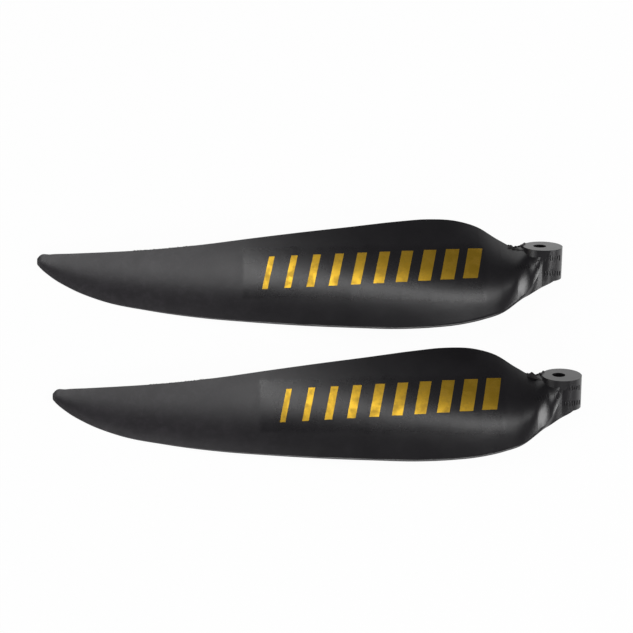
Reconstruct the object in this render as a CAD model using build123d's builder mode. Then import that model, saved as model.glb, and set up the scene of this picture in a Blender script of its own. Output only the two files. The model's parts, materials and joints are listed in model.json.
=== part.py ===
"""A pair of moulded blades for a folding propeller, lying side by side on a bench.

Each blade is one plastic moulding: a twisted aerofoil blade that runs into a flat-sided
knuckle with a cross bore for the folding pin, and a row of gold foil bars pressed into
its front face. The blade frame has its origin on the pin, +Y along the pin, +Z up the
propeller shaft towards the spinner, and the blade points along -X.
"""

import math
import os

from build123d import *

# ---- driving dimensions, in millimetres and degrees ----
propeller_diameter = 279.4  # eleven inches, swept by the two tips
pitch = 203.2  # eight inches, advanced in one turn
pin_spacing = 42.0  # between the two folding pins of the centre piece

root_width = 7.5  # along the pin, between the two flat sides of the knuckle
knuckle_radius = 4.65  # of the knuckle's round end
knuckle_overhang = 0.7  # from the pin to the centre of the round end, away from the blade
pin_diameter = 3.0
pin_clearance = 0.03  # radial, so that the blade swings freely on its pin
spot_face_depth = 3.0  # cleared above and below the flat sides, so that the cheeks pass

widest_chord = 27.15
camber = 0.035  # of the chord
crown_share = 0.38  # of the chord, from the leading edge to the thickest place

foil_thickness = 0.10
foil_proud = 0.04  # of its thickness that stands above the blade
foil_bar_count = 10
foil_height = 7.8
foil_slant = 12.0  # lean of each bar from square
foil_middle = -1.0  # of the row, from the span line towards the trailing edge
foil_rise = 1.7  # climb of the row towards the root
foil_first = 16.0  # from the pin to the middle of the widest bar
foil_last = 64.0  # from the pin to the middle of the narrowest bar
foil_wide = 3.4
foil_narrow = 1.3

blade_spacing = 30.4  # between the two pins across the bench
near_shift = 4.0  # of the near blade along the bench, away from the tips
near_turn = 0.74  # of the near blade on the bench

# ---- search for the resting attitude ----
mesh_step = 0.03  # of the points that stand for the blade's outline
mesh_turn = 0.2  # radians
roll_limit = 45.0
dip_limit = 12.0
settled_within = 0.02  # degrees

# ---- worked out from them ----
reach = propeller_diameter / 2 - pin_spacing / 2  # pin to tip
neck = knuckle_radius + 1.35  # from the pin to the first full blade section
bore_radius = pin_diameter / 2 + pin_clearance

# Root sections: span from the pin, then six corners as (towards the spinner, along the pin):
# front nose, front crown, front tail, back tail, back crown, back nose. Both are shares of
# the knuckle's radius, so that the root grows and shrinks with the knuckle.
root_sections = [
    (-0.688, (0.828, 0.774), (0.000, 0.796), (-0.731, 0.774), (-0.731, -0.774), (0.000, -0.796), (0.828, -0.796)),
    (-0.409, (0.968, 0.742), (0.538, 0.817), (-0.839, 0.774), (-0.839, -0.774), (0.108, -0.860), (1.032, -0.892)),
    (0.000, (1.065, -0.043), (0.968, 1.032), (-0.882, 0.774), (-0.882, -0.688), (0.172, -0.989), (1.183, -1.043)),
    (0.645, (1.570, -1.011), (0.817, 0.731), (-0.645, 0.731), (-0.903, -0.129), (0.129, -1.032), (1.462, -1.355)),
]
# Blade sections: share of the way from neck to tip, offsets of the leading and trailing edges
# from the span line as shares of the widest chord, then thickness, nose width and tail width.
blade_sections = [
    (0.000, 0.429, 0.131, 4.80, 1.30, 2.20),
    (0.028, 0.508, 0.210, 4.30, 1.20, 1.20),
    (0.071, 0.560, 0.339, 3.80, 1.10, 0.60),
    (0.113, 0.587, 0.391, 3.45, 1.05, 0.45),
    (0.176, 0.601, 0.399, 3.15, 1.00, 0.40),
    (0.239, 0.601, 0.372, 2.90, 0.95, 0.40),
    (0.343, 0.579, 0.316, 2.45, 0.85, 0.40),
    (0.449, 0.553, 0.265, 2.10, 0.75, 0.40),
    (0.554, 0.520, 0.212, 1.80, 0.65, 0.40),
    (0.658, 0.480, 0.158, 1.55, 0.60, 0.40),
    (0.764, 0.417, 0.118, 1.32, 0.55, 0.40),
    (0.869, 0.323, 0.096, 1.12, 0.50, 0.40),
    (0.932, 0.217, 0.087, 0.98, 0.50, 0.40),
    (0.973, 0.114, 0.081, 0.85, 0.50, 0.40),
    (0.995, 0.035, 0.068, 0.65, 0.45, 0.40),
    (1.000, 0.011, 0.044, 0.50, 0.40, 0.36),
]


def twist_at(span):
    """Angle between the chord and the pin where a helix of the stated pitch crosses this span."""
    return math.atan(pitch / (2 * math.pi * (span + pin_spacing / 2)))


def blade_corners(span, lead, trail, thickness, nose, tail):
    """The six corners of an aerofoil section, turned by the twist at its span."""
    chord = lead + trail
    crown = lead - crown_share * chord
    bow = 1.6 * camber * chord
    flat = [
        (lead - nose / 2, nose / 2),
        (crown, bow + 0.8 * thickness),
        (-trail, tail / 2),
        (-trail, -tail / 2),
        (crown, bow - 0.8 * thickness),
        (lead - nose / 2, -nose / 2),
    ]
    twist = twist_at(span)
    return [
        (ahead * math.sin(twist) + up * math.cos(twist), up * math.sin(twist) - ahead * math.cos(twist))
        for ahead, up in flat
    ]


def section(span, corners, roundness):
    """Control points of the four sides of a section: nose, front, tail and back."""
    front_nose, front_crown, front_tail, back_tail, back_crown, back_nose = [
        Vector(-span, along_pin, along_shaft) for along_shaft, along_pin in corners
    ]
    width = (front_nose - back_nose).length

    def nose_handle(end, crown, far_end):
        square = end + (far_end - end) / 3
        smooth = end + (end - crown).normalized() * width * 2 / 3
        return square + (smooth - square) * roundness

    nose = [
        back_nose,
        nose_handle(back_nose, back_crown, front_nose),
        nose_handle(front_nose, front_crown, back_nose),
        front_nose,
    ]
    front = [front_nose, (front_nose + front_crown) / 2, front_crown, (front_tail + front_crown) / 2, front_tail]
    back = [back_tail, (back_tail + back_crown) / 2, back_crown, (back_nose + back_crown) / 2, back_nose]
    return span, [nose, front, [front_tail, back_tail], back]


def slope(index, side, point):
    """How fast a control point moves along the span at a section, from its neighbours."""
    here, before, after = sections[index], sections[max(index - 1, 0)], sections[min(index + 1, len(sections) - 1)]
    gap_before, gap_after = here[0] - before[0], after[0] - here[0]
    moves = []
    if gap_before:
        moves.append((gap_after or 1, (here[1][side][point] - before[1][side][point]) / gap_before))
    if gap_after:
        moves.append((gap_before or 1, (after[1][side][point] - here[1][side][point]) / gap_after))
    total = sum(weight for weight, move in moves)
    return sum((move * weight for weight, move in moves), Vector()) / total


def patch(index, side):
    """Surface of one side between two neighbouring sections, smooth with the patches beyond them."""
    third = (sections[index + 1][0] - sections[index][0]) / 3
    start, finish = sections[index][1][side], sections[index + 1][1][side]
    leaving = [here + slope(index, side, point) * third for point, here in enumerate(start)]
    arriving = [here - slope(index + 1, side, point) * third for point, here in enumerate(finish)]
    return Face.make_bezier_surface([start, leaving, arriving, finish])


def end_cap(sides):
    """Flat face that closes the blade at its first or last section."""
    with BuildLine() as outline:
        for side in sides:
            if len(side) == 2:
                Line(*side)
            else:
                Bezier(*side)
    return Face(outline.wire())


sections = []
for span_share, *corner_shares in root_sections:
    corners = [(ahead * knuckle_radius, along * knuckle_radius) for ahead, along in corner_shares]
    sections.append(section(span_share * knuckle_radius, corners, 0))
for span_share, lead, trail, thickness, nose, tail in blade_sections:
    span = neck + span_share * (reach - neck)
    corners = blade_corners(span, lead * widest_chord, trail * widest_chord, thickness, nose, tail)
    sections.append(section(span, corners, 1))

patches = [patch(index, side) for index in range(len(sections) - 1) for side in range(4)]
caps = [end_cap(sections[0][1]), end_cap(sections[-1][1])]

with BuildPart() as blade:
    add(Solid(Shell(patches + caps)))
    # the knuckle, with its flat sides square to the pin
    with BuildSketch(Plane.XZ.offset(-root_width / 2)):
        with Locations((knuckle_overhang, 0)):
            Circle(knuckle_radius)
    extrude(amount=root_width)
    # spot faces that keep both flat sides clear of the blade's root
    for face_height, direction in ((root_width / 2, -1), (-root_width / 2, 1)):
        with BuildSketch(Plane.XZ.offset(-face_height)):
            with Locations((knuckle_overhang, 0)):
                Circle(knuckle_radius)
        extrude(amount=direction * spot_face_depth, mode=Mode.SUBTRACT)
    # the pin's bore
    with BuildSketch(Plane.XZ.offset(-root_width / 2)):
        Circle(bore_radius)
    extrude(amount=root_width, mode=Mode.SUBTRACT)

# ---- gold foil: slanted bars on the front face, narrower towards the tip ----
foil_tilt = twist_at((foil_first + foil_last) / 2)
outward = Vector(0, math.sin(foil_tilt), math.cos(foil_tilt))
foil_plane = Plane(origin=(0, 0, 0), x_dir=(1, 0, 0), z_dir=outward)
foil_reach = widest_chord / 2  # height of the cutting columns above the span line

with BuildPart() as columns:
    with BuildSketch(foil_plane):
        lean = foil_height / 2 * math.tan(math.radians(foil_slant))
        for bar in range(foil_bar_count):
            share = bar / (foil_bar_count - 1)
            half = (foil_wide + share * (foil_narrow - foil_wide)) / 2
            with Locations((-(foil_first + share * (foil_last - foil_first)), foil_middle - foil_rise * share)):
                Polygon(
                    (-half - lean, -foil_height / 2),
                    (half - lean, -foil_height / 2),
                    (half + lean, foil_height / 2),
                    (-half + lean, foil_height / 2),
                    align=None,
                )
    extrude(amount=foil_reach)

# the layer between the front face moved outwards and the front face moved inwards
with BuildPart() as foil_bars:
    add(columns.part)
    with Locations(outward * foil_proud):
        add(blade.part, mode=Mode.INTERSECT)
    with Locations(outward * (foil_proud - foil_thickness)):
        add(blade.part, mode=Mode.SUBTRACT)

with BuildPart() as printed_blade:
    add(blade.part)
    add(foil_bars.part, mode=Mode.SUBTRACT)

# ---- how a loose blade settles on the bench ----
points, triangles = blade.part.tessellate(mesh_step, mesh_turn)
outline_points = [(point.X, point.Y, point.Z) for point in points]
balance = tuple(blade.part.center(CenterOf.MASS))


def balance_height(roll, dip):
    """Height of the balance point over the lowest point of the blade at this attitude."""
    turn, lean = math.radians(roll), math.radians(dip)
    up = (-math.sin(lean), math.sin(turn) * math.cos(lean), math.cos(turn) * math.cos(lean))
    heights = (up[0] * x + up[1] * y + up[2] * z for x, y, z in outline_points)
    return sum(a * b for a, b in zip(up, balance)) - min(heights)


def lowest_between(low, high, height_at):
    """Where a height that falls and then rises is lowest, found by dropping outer thirds."""
    while high - low > settled_within:
        third = (high - low) / 3
        if height_at(low + third) < height_at(high - third):
            high -= third
        else:
            low += third
    return (low + high) / 2


def best_dip(roll):
    """The dip that a blade at this roll falls to by itself."""
    return lowest_between(-dip_limit, dip_limit, lambda dip: balance_height(roll, dip))


roll = lowest_between(0, roll_limit, lambda angle: balance_height(angle, best_dip(angle)))
dip = best_dip(roll)
settled = Rotation(0, dip, 0) * Rotation(roll, 0, 0)

# ---- the pair on the bench, with the origin under the middle of both ----
far_place = settled
near_place = Location((near_shift, -blade_spacing, 0), (0, 0, near_turn)) * settled
both = Compound([far_place * blade.part, near_place * blade.part]).bounding_box()
to_origin = Location((-both.center().X, -both.center().Y, -both.min.Z))

os.makedirs("parts", exist_ok=True)
for side_name, place in (("far", far_place), ("near", near_place)):
    with BuildPart() as laid_blade:
        with Locations(to_origin * place):
            add(printed_blade.part)
    laid_blade.part.label = side_name + "_blade"
    export_step(laid_blade.part, "parts/" + side_name + "_blade.step")
    with BuildPart() as laid_bars:
        with Locations(to_origin * place):
            add(foil_bars.part)
    laid_bars.part.label = side_name + "_foil_bars"
    export_step(laid_bars.part, "parts/" + side_name + "_foil_bars.step")
    pin = to_origin * place
    print(side_name, "pin at", pin.position, "turned", pin.orientation)
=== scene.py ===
import json
import math
import random

import bmesh
import bpy
from mathutils import Matrix, Vector
from mathutils.bvhtree import BVHTree


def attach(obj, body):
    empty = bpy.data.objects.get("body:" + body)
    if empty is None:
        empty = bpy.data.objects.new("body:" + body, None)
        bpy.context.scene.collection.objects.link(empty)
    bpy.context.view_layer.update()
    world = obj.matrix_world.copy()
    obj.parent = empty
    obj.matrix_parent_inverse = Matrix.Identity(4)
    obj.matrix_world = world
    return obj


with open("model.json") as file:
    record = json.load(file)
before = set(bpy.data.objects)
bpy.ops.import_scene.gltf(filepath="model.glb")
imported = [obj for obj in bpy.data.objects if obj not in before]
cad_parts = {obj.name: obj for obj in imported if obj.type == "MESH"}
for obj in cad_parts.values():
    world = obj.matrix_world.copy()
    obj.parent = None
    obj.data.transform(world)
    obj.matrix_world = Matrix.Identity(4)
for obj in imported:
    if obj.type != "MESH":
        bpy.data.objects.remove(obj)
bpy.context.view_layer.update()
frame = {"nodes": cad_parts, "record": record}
nodes = frame["nodes"]
mounts = {mount["name"]: mount for mount in frame["record"]["mounts"]}
bladeBody = {"far": "far_loose_blade", "near": "near_loose_blade"}
millimetre = 0.001
scene = bpy.context.scene
scene.view_settings.view_transform = "Standard"
print("frame loaded:", ", ".join(sorted(nodes)))


class Signal:
    # one socket of a shader tree: an expression on signals adds its Math nodes
    def __init__(self, tree, socket):
        self.tree = tree
        self.socket = socket

    def add(self, kind, settings=None, inputs=None, output=0):
        # any other node: its settings are made first, then the values or links of its sockets
        node = self.tree.nodes.new(kind)
        for name, value in (settings or {}).items():
            if name == "stops":
                setStops(node.color_ramp, value)
            else:
                setattr(node, name, value)
        for name, value in (inputs or {}).items():
            if isinstance(value, Signal):
                self.tree.links.new(value.socket, node.inputs[name])
            else:
                node.inputs[name].default_value = value
        return Signal(self.tree, node.outputs[output])

    def math(self, operation, first, second=0.0, clamp=False):
        return self.add("ShaderNodeMath", {"operation": operation, "use_clamp": clamp}, {0: first, 1: second})

    def __add__(self, other):
        return self.math("ADD", self, other)

    def __radd__(self, other):
        return self.math("ADD", other, self)

    def __sub__(self, other):
        return self.math("SUBTRACT", self, other)

    def __rsub__(self, other):
        return self.math("SUBTRACT", other, self)

    def __mul__(self, other):
        return self.math("MULTIPLY", self, other)

    def __rmul__(self, other):
        return self.math("MULTIPLY", other, self)

    def clamped(self):
        return self.math("ADD", self, 0.0, clamp=True)


def setStops(ramp, stops):
    while len(ramp.elements) < len(stops):
        ramp.elements.new(0.5)
    for element, (place, shade) in zip(ramp.elements, stops):
        element.position = place
        element.color = (shade, shade, shade, 1.0)


def startMaterial(name):
    material = bpy.data.materials.new(name)
    material.use_nodes = True
    material.node_tree.nodes.clear()
    return material, Signal(material.node_tree, None)


def endMaterial(shader):
    output = shader.tree.nodes.new("ShaderNodeOutputMaterial")
    shader.tree.links.new(shader.socket, output.inputs["Surface"])


def noise(place, scale, detail=3.0, roughness=0.6):
    inputs = {"Vector": place, "Scale": scale, "Detail": detail, "Roughness": roughness}
    return place.add("ShaderNodeTexNoise", None, inputs)


def blend(amount, first, second):
    inputs = {0: amount, 6: first, 7: second}
    return amount.add("ShaderNodeMix", {"data_type": "RGBA"}, inputs, output=2)


def bladeAxes(side):
    # the pin, then the directions tip to pin, along the pin, and off the front face
    mount = mounts[side + "_pivot_bore"]
    pin = Vector(mount["pos_m"])
    across = Vector(mount["axis"]).normalized()
    corners = [vertex.co for vertex in nodes[side + "_blade"].data.vertices]
    tip = max(corners, key=lambda corner: (corner - pin).length)
    along = pin - tip
    along = (along - along.dot(across) * across).normalized()
    return pin, along, across, along.cross(across)


axes = {side: bladeAxes(side) for side in bladeBody}

# the moulded plastic is glass-filled: dusty towards the tip, pressed glossy round the foil
nylonLook = {
    "darkest": (0.0042, 0.0037, 0.0046, 1.0),
    "lightest": (0.0100, 0.0088, 0.0106, 1.0),
    "dust": (0.0210, 0.0180, 0.0220, 1.0),
    "cloudScale": 170.0,
    "speckScale": 2100.0,
    "scuffScale": 620.0,
    "roughness": 0.33,
    "pressedRoughness": 0.27,
    "grainHeight": 0.00003,
    "pressedMiddle": (-41.5, -1.9),  # millimetres from the pin, along the blade and across it
    "pressedHalf": (29.0, 6.1),
    "pressedEdge": 0.9,
    "dustFrom": -52.0,
    "dustLength": 40.0,
}


def makeNylon(side):
    look = nylonLook
    material, start = startMaterial(side + "Nylon")
    pin, along, across, shaft = axes[side]
    turn = Matrix((along, across, shaft)).transposed().to_euler()
    place = start.add("ShaderNodeTexCoord", output=3)
    onBlade = place.add(
        "ShaderNodeMapping", {"vector_type": "TEXTURE"}, {"Vector": place, "Location": pin, "Rotation": turn}
    )
    toPin = onBlade.add("ShaderNodeSeparateXYZ", None, {"Vector": onBlade})
    toSide = Signal(toPin.tree, toPin.socket.node.outputs[1])
    clouds = noise(onBlade, look["cloudScale"], 4.0)
    specks = noise(onBlade, look["speckScale"], 2.0, 0.7)
    scuffs = noise(onBlade, look["scuffScale"], 5.0, 0.7)
    # how far inside the pressed rectangle a point is, with a slightly ragged edge
    ragged = (scuffs - 0.5) * (2.4 * millimetre)
    middle, half, edge = look["pressedMiddle"], look["pressedHalf"], look["pressedEdge"] * millimetre
    fromMiddle = toPin.math("ABSOLUTE", toPin - middle[0] * millimetre)
    fromRow = toSide.math("ABSOLUTE", toSide - middle[1] * millimetre)
    insideLength = ((half[0] * millimetre - fromMiddle + ragged) * (1.0 / edge)).clamped()
    insideWidth = ((half[1] * millimetre - fromRow + ragged) * (1.0 / edge)).clamped()
    pressed = insideLength * insideWidth
    outward = ((look["dustFrom"] * millimetre - toPin) * (1.0 / (look["dustLength"] * millimetre))).clamped()
    speckMask = specks.add("ShaderNodeValToRGB", {"stops": [(0.50, 0.0), (0.70, 1.0)]}, {"Fac": specks})
    scuffMask = scuffs.add("ShaderNodeValToRGB", {"stops": [(0.46, 0.0), (0.68, 1.0)]}, {"Fac": scuffs})
    matt = 1.0 - pressed
    mottled = blend((clouds * 0.8 + speckMask * 0.3).clamped(), look["darkest"], look["lightest"])
    dustAmount = (outward * (0.25 + scuffMask * 0.55) * matt).clamped()
    colour = blend(dustAmount, mottled, look["dust"])
    span = look["roughness"] - look["pressedRoughness"]
    roughness = look["pressedRoughness"] + matt * span + (clouds - 0.5) * 0.10 + outward * matt * 0.06
    height = specks * 0.6 + clouds * 1.6 + scuffs * 0.5
    grain = height.add(
        "ShaderNodeBump", None, {"Strength": 0.30, "Distance": look["grainHeight"], "Height": height}
    )
    inputs = {"Base Color": colour, "Roughness": roughness, "IOR": 1.53, "Normal": grain}
    endMaterial(grain.add("ShaderNodeBsdfPrincipled", None, inputs))
    return material


# hot-stamped foil: bright lacquered gold, thin where it has rubbed
foilLook = {
    "gold": (0.66, 0.40, 0.035, 1.0),
    "rubbed": (0.28, 0.165, 0.018, 1.0),
    "patchScale": 480.0,
    "crackleScale": 2600.0,
    "roughness": 0.30,
    "wrinkle": 0.00002,
}


def makeFoil():
    look = foilLook
    material, start = startMaterial("goldFoil")
    place = start.add("ShaderNodeTexCoord", output=3)
    patches = noise(place, look["patchScale"], 4.0)
    crackle = noise(place, look["crackleScale"], 3.0, 0.7)
    patchMask = patches.add("ShaderNodeValToRGB", {"stops": [(0.42, 0.0), (0.64, 1.0)]}, {"Fac": patches})
    rubbed = (patchMask * 0.55 + (crackle - 0.45) * 0.5).clamped()
    colour = blend(rubbed, look["gold"], look["rubbed"])
    wrinkles = crackle.add(
        "ShaderNodeBump", None, {"Strength": 0.4, "Distance": look["wrinkle"], "Height": patches + crackle * 0.4}
    )
    inputs = {
        "Base Color": colour,
        "Metallic": 0.92 - rubbed * 0.25,
        "Roughness": look["roughness"] + rubbed * 0.20,
        "Normal": wrinkles,
    }
    endMaterial(wrinkles.add("ShaderNodeBsdfPrincipled", None, inputs))
    return material


# flash is the same plastic where it squeezed out of the mould: thin, torn and duller
flashLook = {
    "dark": (0.0070, 0.0060, 0.0068, 1.0),
    "pale": (0.0300, 0.0250, 0.0270, 1.0),
    "tearScale": 3200.0,
    "roughness": 0.50,
    "tearHeight": 0.00004,
}


def makeFlash():
    look = flashLook
    material, start = startMaterial("tornFlash")
    place = start.add("ShaderNodeTexCoord", output=3)
    tears = noise(place, look["tearScale"], 3.0, 0.7)
    tearMask = tears.add("ShaderNodeValToRGB", {"stops": [(0.40, 0.0), (0.66, 1.0)]}, {"Fac": tears})
    bump = tears.add("ShaderNodeBump", None, {"Strength": 0.5, "Distance": look["tearHeight"], "Height": tears})
    inputs = {
        "Base Color": blend(tearMask, look["dark"], look["pale"]),
        "Roughness": look["roughness"] + tearMask * 0.15,
        "IOR": 1.53,
        "Normal": bump,
    }
    endMaterial(bump.add("ShaderNodeBsdfPrincipled", None, inputs))
    return material


nylon = {side: makeNylon(side) for side in bladeBody}
foil = makeFoil()
flash = makeFlash()
for side in bladeBody:
    for slot in nodes[side + "_blade"].material_slots:
        slot.material = nylon[side]
    for slot in nodes[side + "_foil_bars"].material_slots:
        slot.material = foil
print("nylon, foil and flash finishes made")

# marks are placed by looking at the blade from between its front face and its pin
lookTilt = math.radians(16.3)


def sightLines(side):
    pin, along, across, shaft = axes[side]
    towards = shaft * math.cos(lookTilt) + across * math.sin(lookTilt)
    return pin, along, towards.cross(along), towards


def surfaceTree(side):
    mesh = nodes[side + "_blade"].data
    places = [vertex.co for vertex in mesh.vertices]
    return BVHTree.FromPolygons(places, [face.vertices for face in mesh.polygons])


trees = {side: surfaceTree(side) for side in bladeBody}
castHeight = 0.05


def onSurface(side, alongMm, upMm):
    # the point of the blade's surface met there, and its outward direction, or None
    pin, along, up, towards = sightLines(side)
    start = pin + (along * alongMm + up * upMm) * millimetre + towards * castHeight
    hit, normal, index, distance = trees[side].ray_cast(start, -towards)
    if hit is None:
        return None
    return hit, normal if normal.dot(towards) > 0 else -normal


def finishPiece(piece, side, material):
    if not piece.data.materials:
        piece.data.materials.append(material)
    if piece.name not in scene.collection.objects:
        scene.collection.objects.link(piece)
    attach(piece, bladeBody[side])


def meshPiece(name, work):
    bmesh.ops.recalc_face_normals(work, faces=work.faces)
    mesh = bpy.data.meshes.new(name)
    work.to_mesh(mesh)
    work.free()
    return bpy.data.objects.new(name, mesh)


# a small raised oval ring beside the root crease, left by the mould
ringSizes = {
    "place": (-1.07, -0.85),
    "halfWidth": 0.55,
    "halfHeight": 0.92,
    "wire": 0.14,
    "lean": math.radians(-8.0),
    "turns": 56,
    "wireSides": 8,
}


def makeRing(side):
    sizes = ringSizes
    pin, along, up, towards = sightLines(side)
    centre, normals = [], []
    for step in range(sizes["turns"]):
        angle = 2 * math.pi * step / sizes["turns"]
        wide = sizes["halfWidth"] * math.cos(angle)
        high = sizes["halfHeight"] * math.sin(angle)
        alongMm = wide * math.cos(sizes["lean"]) - high * math.sin(sizes["lean"])
        upMm = wide * math.sin(sizes["lean"]) + high * math.cos(sizes["lean"])
        hit, normal = onSurface(side, sizes["place"][0] + alongMm, sizes["place"][1] + upMm)
        centre.append(hit)
        normals.append(normal)
    work = bmesh.new()
    loops = []
    for step, (point, normal) in enumerate(zip(centre, normals)):
        ahead = (centre[(step + 1) % len(centre)] - centre[step - 1]).normalized()
        sideways = ahead.cross(normal).normalized()
        upright = sideways.cross(ahead)
        loop = []
        for corner in range(sizes["wireSides"]):
            angle = 2 * math.pi * corner / sizes["wireSides"]
            reach = sizes["wire"] * millimetre
            offset = sideways * (math.cos(angle) * reach) + upright * (math.sin(angle) * reach)
            loop.append(work.verts.new(point + offset))
        loops.append(loop)
    for step, loop in enumerate(loops):
        following = loops[(step + 1) % len(loops)]
        for corner in range(sizes["wireSides"]):
            beside = (corner + 1) % sizes["wireSides"]
            work.faces.new((loop[corner], loop[beside], following[beside], following[corner]))
    for face in work.faces:
        face.smooth = True
    ring = meshPiece(side + "MouldRing", work)
    finishPiece(ring, side, nylon[side])


def groupInput(tree, name, kind, value):
    socket = tree.interface.new_socket(name, in_out="INPUT", socket_type=kind)
    if value is not None:
        socket.default_value = value
    return socket.identifier


def link(tree, source, node, name):
    tree.links.new(source, node.inputs[name])


# rows of little upright ticks, where the mould has its own marks
tickRows = {
    # row: first tick, step to the next (millimetres along and up), number, seed
    "besideCrease": ((-5.95, -1.72), (0.62, 0.10), 6, 3),
    "upperWall": ((1.95, 0.62), (0.60, 0.02), 5, 7),
    "lowerWall": ((0.75, -2.98), (0.64, 0.02), 7, 11),
}
tickSizes = {"width": 0.24, "length": 1.35, "height": 0.28, "shortest": 0.55, "leanMost": 0.30}


def buildTickTree(name):
    tree = bpy.data.node_groups.new(name, "GeometryNodeTree")
    inputs = {
        "blade": groupInput(tree, "Blade", "NodeSocketObject", None),
        "start": groupInput(tree, "Start", "NodeSocketVector", None),
        "step": groupInput(tree, "Step", "NodeSocketVector", None),
        "look": groupInput(tree, "Look", "NodeSocketVector", None),
        "count": groupInput(tree, "Count", "NodeSocketInt", 5),
        "size": groupInput(tree, "Tick Size", "NodeSocketVector", None),
        "shortest": groupInput(tree, "Shortest", "NodeSocketFloat", 0.5),
        "lean": groupInput(tree, "Most Lean", "NodeSocketFloat", 0.3),
        "seed": groupInput(tree, "Seed", "NodeSocketInt", 0),
        "finish": groupInput(tree, "Finish", "NodeSocketMaterial", None),
    }
    tree.interface.new_socket("Geometry", in_out="OUTPUT", socket_type="NodeSocketGeometry")
    new = tree.nodes.new
    given = new("NodeGroupInput").outputs
    row = new("GeometryNodeMeshLine")
    link(tree, given["Count"], row, "Count")
    link(tree, given["Start"], row, "Start Location")
    link(tree, given["Step"], row, "Offset")
    target = new("GeometryNodeObjectInfo")
    link(tree, given["Blade"], target, "Object")
    ray = new("GeometryNodeRaycast")
    link(tree, target.outputs["Geometry"], ray, "Target Geometry")
    link(tree, given["Look"], ray, "Ray Direction")
    keep = new("GeometryNodeStoreNamedAttribute")
    keep.data_type = "FLOAT_VECTOR"
    keep.inputs["Name"].default_value = "wall"
    link(tree, row.outputs["Mesh"], keep, "Geometry")
    link(tree, ray.outputs["Hit Normal"], keep, "Value")
    land = new("GeometryNodeSetPosition")
    link(tree, keep.outputs["Geometry"], land, "Geometry")
    link(tree, ray.outputs["Hit Position"], land, "Position")
    block = new("GeometryNodeMeshCube")
    link(tree, given["Tick Size"], block, "Size")
    rounded = new("GeometryNodeSubdivisionSurface")
    rounded.inputs["Level"].default_value = 2
    rounded.inputs["Edge Crease"].default_value = 0.55
    link(tree, block.outputs["Mesh"], rounded, "Mesh")
    wall = new("GeometryNodeInputNamedAttribute")
    wall.data_type = "FLOAT_VECTOR"
    wall.inputs["Name"].default_value = "wall"
    upright = new("FunctionNodeAlignRotationToVector")
    upright.axis = "Z"
    link(tree, wall.outputs["Attribute"], upright, "Vector")
    leanBy = new("FunctionNodeRandomValue")
    leanBy.data_type = "FLOAT"
    below = new("ShaderNodeMath")
    below.operation = "MULTIPLY"
    below.inputs[1].default_value = -1.0
    link(tree, given["Most Lean"], below, 0)
    link(tree, below.outputs[0], leanBy, 2)
    link(tree, given["Most Lean"], leanBy, 3)
    link(tree, given["Seed"], leanBy, "Seed")
    spin = new("FunctionNodeAxisAngleToRotation")
    link(tree, leanBy.outputs[1], spin, "Angle")
    turned = new("FunctionNodeRotateRotation")
    turned.rotation_space = "LOCAL"
    link(tree, upright.outputs[0], turned, 0)
    link(tree, spin.outputs[0], turned, 1)
    share = new("FunctionNodeRandomValue")
    share.data_type = "FLOAT"
    share.inputs[3].default_value = 1.0
    link(tree, given["Shortest"], share, 2)
    link(tree, given["Seed"], share, "Seed")
    stretch = new("ShaderNodeCombineXYZ")
    stretch.inputs["X"].default_value = 1.0
    stretch.inputs["Z"].default_value = 1.0
    link(tree, share.outputs[1], stretch, "Y")
    copies = new("GeometryNodeInstanceOnPoints")
    link(tree, land.outputs["Geometry"], copies, "Points")
    link(tree, rounded.outputs["Mesh"], copies, "Instance")
    link(tree, turned.outputs[0], copies, "Rotation")
    link(tree, stretch.outputs[0], copies, "Scale")
    real = new("GeometryNodeRealizeInstances")
    link(tree, copies.outputs["Instances"], real, "Geometry")
    painted = new("GeometryNodeSetMaterial")
    link(tree, real.outputs["Geometry"], painted, "Geometry")
    link(tree, given["Finish"], painted, "Material")
    link(tree, painted.outputs["Geometry"], new("NodeGroupOutput"), "Geometry")
    return tree, inputs


def runTree(name, tree, values, mesh=None):
    # values are set by identifier before anything is evaluated; the result is a plain mesh
    host = bpy.data.objects.new(name + "Host", mesh or bpy.data.meshes.new(name + "Host"))
    scene.collection.objects.link(host)
    modifier = host.modifiers.new(name, "NODES")
    modifier.node_group = tree
    for identifier, value in values.items():
        modifier[identifier] = value
    evaluated = host.evaluated_get(bpy.context.evaluated_depsgraph_get())
    result = bpy.data.meshes.new_from_object(evaluated)
    result.name = name
    bpy.data.objects.remove(host)
    return bpy.data.objects.new(name, result)


tickTree, tickInputs = buildTickTree("tickRow")


def makeTicks(side):
    pin, along, up, towards = sightLines(side)
    made = []
    for rowName, (first, step, count, seed) in tickRows.items():
        sizes = tickSizes
        values = {
            "blade": nodes[side + "_blade"],
            "start": pin + (along * first[0] + up * first[1]) * millimetre + towards * castHeight,
            "step": (along * step[0] + up * step[1]) * millimetre,
            "look": -towards,
            "count": count,
            "size": [sizes[key] * millimetre for key in ("width", "length", "height")],
            "shortest": sizes["shortest"],
            "lean": sizes["leanMost"],
            "seed": seed,
            "finish": nylon[side],
        }
        identified = {tickInputs[key]: value for key, value in values.items()}
        piece = runTree(side + "Ticks" + rowName[0].upper() + rowName[1:], tickTree, identified)
        finishPiece(piece, side, nylon[side])
        made.append(len(piece.data.vertices))
    return made


# a thin torn fin of flash where the trailing edge runs into the knuckle's upper flat side
finSizes = {
    "far": {
        "from": (-7.4, 3.30),
        "to": (-3.7, 2.50),
        "heights": (0.05, 0.32, 0.14, 0.48, 0.20, 0.40, 0.12, 0.26, 0.05),
    },
    "near": {
        "from": (-7.2, 3.35),
        "to": (-3.7, 2.30),
        "heights": (0.08, 0.55, 1.15, 1.40, 1.30, 0.85, 0.55, 0.35, 0.22, 0.12, 0.05),
    },
    "thickness": 0.22,
    "sunk": 0.15,
    "ragged": 0.07,
    "stationsEach": 4,
}


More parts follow.
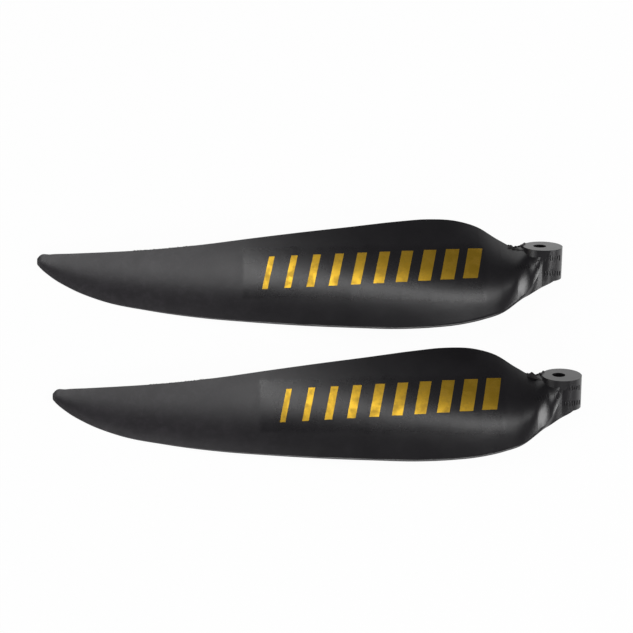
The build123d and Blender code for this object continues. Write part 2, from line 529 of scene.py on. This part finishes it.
def makeFin(side):
    shape, sizes = finSizes[side], finSizes
    rough = random.Random(17)
    pin, along, up, towards = sightLines(side)
    count = (len(shape["heights"]) - 1) * sizes["stationsEach"]
    work = bmesh.new()
    loops = []
    for station in range(count + 1):
        share = station / count
        spot = share * (len(shape["heights"]) - 1)
        lower = min(int(spot), len(shape["heights"]) - 2)
        mix = spot - lower
        high = shape["heights"][lower] * (1 - mix) + shape["heights"][lower + 1] * mix
        high += rough.uniform(-1, 1) * sizes["ragged"]
        alongMm = shape["from"][0] * (1 - share) + shape["to"][0] * share
        upMm = shape["from"][1] * (1 - share) + shape["to"][1] * share
        found = onSurface(side, alongMm, upMm) or onSurface(side, alongMm, upMm - 0.6)
        base = found[0]
        rise = (up * 0.92 + towards * 0.38).normalized()
        apart = rise.cross(along).normalized() * (sizes["thickness"] / 2 * millimetre)
        foot = base - rise * (sizes["sunk"] * millimetre)
        crown = base + rise * (max(high, 0.03) * millimetre)
        jitter = along * (rough.uniform(-0.5, 0.5) * sizes["ragged"] * millimetre)
        corners = (foot - apart, foot + apart, crown + jitter + apart * 0.4, crown + jitter - apart * 0.4)
        loops.append([work.verts.new(corner) for corner in corners])
    for loop, following in zip(loops, loops[1:]):
        for corner in range(4):
            beside = (corner + 1) % 4
            work.faces.new((loop[corner], loop[beside], following[beside], following[corner]))
    work.faces.new(loops[0])
    work.faces.new(reversed(loops[-1]))
    finishPiece(meshPiece(side + "FlashFin", work), side, flash)


# crumbs of flash along the trailing edge and round the fin
crumbSizes = {
    "edge": {"from": -96.0, "to": -82.0, "step": 0.35, "spacing": 0.34, "smallest": 0.05, "largest": 0.16, "seed": 5},
    "root": {"from": -7.0, "to": -3.2, "step": 0.20, "spacing": 0.24, "smallest": 0.10, "largest": 0.34, "seed": 9},
}


def edgePoint(side, alongMm):
    # comes down from beyond the trailing edge until the blade is met
    upMm = 16.0
    while upMm > -4.0:
        found = onSurface(side, alongMm, upMm)
        if found:
            return found[0]
        upMm -= 0.04
    return None


def buildCrumbTree(name):
    tree = bpy.data.node_groups.new(name, "GeometryNodeTree")
    tree.interface.new_socket("Geometry", in_out="INPUT", socket_type="NodeSocketGeometry")
    inputs = {
        "spacing": groupInput(tree, "Spacing", "NodeSocketFloat", 0.001),
        "smallest": groupInput(tree, "Smallest", "NodeSocketFloat", 0.0001),
        "largest": groupInput(tree, "Largest", "NodeSocketFloat", 0.0002),
        "seed": groupInput(tree, "Seed", "NodeSocketInt", 0),
        "finish": groupInput(tree, "Finish", "NodeSocketMaterial", None),
    }
    tree.interface.new_socket("Geometry", in_out="OUTPUT", socket_type="NodeSocketGeometry")
    new = tree.nodes.new
    given = new("NodeGroupInput").outputs
    line = new("GeometryNodeMeshToCurve")
    link(tree, given["Geometry"], line, "Mesh")
    spaced = new("GeometryNodeResampleCurve")
    spaced.mode = "LENGTH"
    link(tree, line.outputs["Curve"], spaced, "Curve")
    link(tree, given["Spacing"], spaced, "Length")
    crumb = new("GeometryNodeMeshIcoSphere")
    crumb.inputs["Radius"].default_value = 1.0
    crumb.inputs["Subdivisions"].default_value = 2
    dented = new("GeometryNodeSetPosition")
    dent = new("ShaderNodeTexNoise")
    dent.inputs["Scale"].default_value = 1.7
    centred = new("ShaderNodeVectorMath")
    centred.operation = "SUBTRACT"
    centred.inputs[1].default_value = (0.5, 0.5, 0.5)
    link(tree, dent.outputs["Color"], centred, 0)
    link(tree, crumb.outputs["Mesh"], dented, "Geometry")
    link(tree, centred.outputs[0], dented, "Offset")
    size = new("FunctionNodeRandomValue")
    size.data_type = "FLOAT"
    link(tree, given["Smallest"], size, 2)
    link(tree, given["Largest"], size, 3)
    link(tree, given["Seed"], size, "Seed")
    tumble = new("FunctionNodeRandomValue")
    tumble.data_type = "FLOAT_VECTOR"
    tumble.inputs[1].default_value = (6.28, 6.28, 6.28)
    link(tree, given["Seed"], tumble, "Seed")
    copies = new("GeometryNodeInstanceOnPoints")
    link(tree, spaced.outputs["Curve"], copies, "Points")
    link(tree, dented.outputs["Geometry"], copies, "Instance")
    link(tree, tumble.outputs[0], copies, "Rotation")
    link(tree, size.outputs[1], copies, "Scale")
    real = new("GeometryNodeRealizeInstances")
    link(tree, copies.outputs["Instances"], real, "Geometry")
    painted = new("GeometryNodeSetMaterial")
    link(tree, real.outputs["Geometry"], painted, "Geometry")
    link(tree, given["Finish"], painted, "Material")
    link(tree, painted.outputs["Geometry"], new("NodeGroupOutput"), "Geometry")
    return tree, inputs


crumbTree, crumbInputs = buildCrumbTree("crumbsAlongEdge")


def makeCrumbs(side, rowName):
    sizes = crumbSizes[rowName]
    count = round((sizes["to"] - sizes["from"]) / sizes["step"])
    found = [edgePoint(side, sizes["from"] + sizes["step"] * number) for number in range(count + 1)]
    path = [point for point in found if point]
    line = bpy.data.meshes.new(side + rowName + "Line")
    line.from_pydata(path, [(number, number + 1) for number in range(len(path) - 1)], [])
    values = {key: sizes[key] * millimetre for key in ("spacing", "smallest", "largest")}
    values.update(seed=sizes["seed"], finish=flash)
    identified = {crumbInputs[key]: value for key, value in values.items()}
    piece = runTree(side + rowName.capitalize() + "Crumbs", crumbTree, identified, line)
    finishPiece(piece, side, flash)


for side in bladeBody:
    makeRing(side)
    tickVerts = makeTicks(side)
    makeFin(side)
    for rowName in crumbSizes:
        makeCrumbs(side, rowName)
    print(side, "blade has its mould marks and flash, tick vertices", tickVerts)

# pale floor: seen and mirrored as white, with the blades' own soft shadow
floorLook = {
    "size": 4.0,
    "colour": (0.80, 0.80, 0.80, 1.0),
    "white": (1.0, 1.0, 1.0, 1.0),
    "shadowShare": 0.04,
}


def makeFloor():
    material, start = startMaterial("paleFloor")
    path = start.add("ShaderNodeLightPath")
    glossy = Signal(path.tree, path.socket.node.outputs["Is Glossy Ray"])
    passing = Signal(path.tree, path.socket.node.outputs["Is Transmission Ray"])
    seen = (path + glossy + passing).clamped()
    matt = start.add("ShaderNodeBsdfDiffuse", None, {"Color": floorLook["colour"]})
    glow = start.add("ShaderNodeEmission", None, {"Color": floorLook["white"], "Strength": 1.0})
    share = seen * (1.0 - floorLook["shadowShare"])
    endMaterial(start.add("ShaderNodeMixShader", None, {0: share, 1: matt, 2: glow}))
    half = floorLook["size"] / 2
    corners = [(-half, -half, 0), (half, -half, 0), (half, half, 0), (-half, half, 0)]
    mesh = bpy.data.meshes.new("floor")
    mesh.from_pydata(corners, [], [(0, 1, 2, 3)])
    mesh.materials.append(material)
    floor = bpy.data.objects.new("floor", mesh)
    scene.collection.objects.link(floor)


# dim room, white only where the camera looks past the floor
worldLook = {"room": (0.12, 0.12, 0.125, 1.0), "white": (1.0, 1.0, 1.0, 1.0)}


def makeWorld():
    world = bpy.data.worlds.new("studio")
    world.use_nodes = True
    world.node_tree.nodes.clear()
    start = Signal(world.node_tree, None)
    path = start.add("ShaderNodeLightPath")
    colour = blend(path, worldLook["room"], worldLook["white"])
    background = start.add("ShaderNodeBackground", None, {"Color": colour})
    output = world.node_tree.nodes.new("ShaderNodeOutputWorld")
    world.node_tree.links.new(background.socket, output.inputs["Surface"])
    scene.world = world


# lamps aim at the middle of the pair: azimuth from +X, elevation, distance, width, height, watts
lampSet = {
    "overheadBox": (136.0, 66.5, 0.90, 0.34, 0.32, 1.75),
    "sideWindow": (0.0, 33.0, 0.90, 0.50, 0.40, 5.6),
    "frontFill": (-88.0, 24.0, 1.00, 0.80, 0.40, 5.5),
    "leftFill": (186.0, 24.0, 1.00, 0.60, 0.40, 3.0),
}


def makeLamps():
    for name, (azimuth, elevation, distance, width, height, watts) in lampSet.items():
        light = bpy.data.lights.new(name, "AREA")
        light.shape = "RECTANGLE"
        light.size = width
        light.size_y = height
        light.energy = watts
        turn, rise = math.radians(azimuth), math.radians(elevation)
        outward = Vector((math.cos(turn) * math.cos(rise), math.sin(turn) * math.cos(rise), math.sin(rise)))
        lamp = bpy.data.objects.new(name, light)
        lamp.location = outward * distance
        lamp.rotation_euler = (-outward).to_track_quat("-Z", "Y").to_euler()
        scene.collection.objects.link(lamp)


cameraSet = {
    "distance": 0.33,
    "viewWidth": 0.1498,  # of what is seen at the far pin
    "pinRight": 0.05266,  # of the middle of the view
    "pinUp": 0.01302,
    "roll": -0.25,  # degrees
}


def makeCamera():
    pin, along, up, towards = sightLines("far")
    right = Matrix.Rotation(math.radians(cameraSet["roll"]), 3, towards) @ along
    up = towards.cross(right)
    data = bpy.data.cameras.new("camera")
    data.lens = data.sensor_width * cameraSet["distance"] / cameraSet["viewWidth"]
    data.clip_start = 0.01
    camera = bpy.data.objects.new("camera", data)
    place = Matrix((right, up, towards)).transposed().to_4x4()
    place.translation = (
        pin - right * cameraSet["pinRight"] - up * cameraSet["pinUp"] + towards * cameraSet["distance"]
    )
    camera.matrix_world = place
    scene.collection.objects.link(camera)
    scene.camera = camera


makeFloor()
makeWorld()
makeLamps()
makeCamera()
print("floor, room, lamps and camera placed")
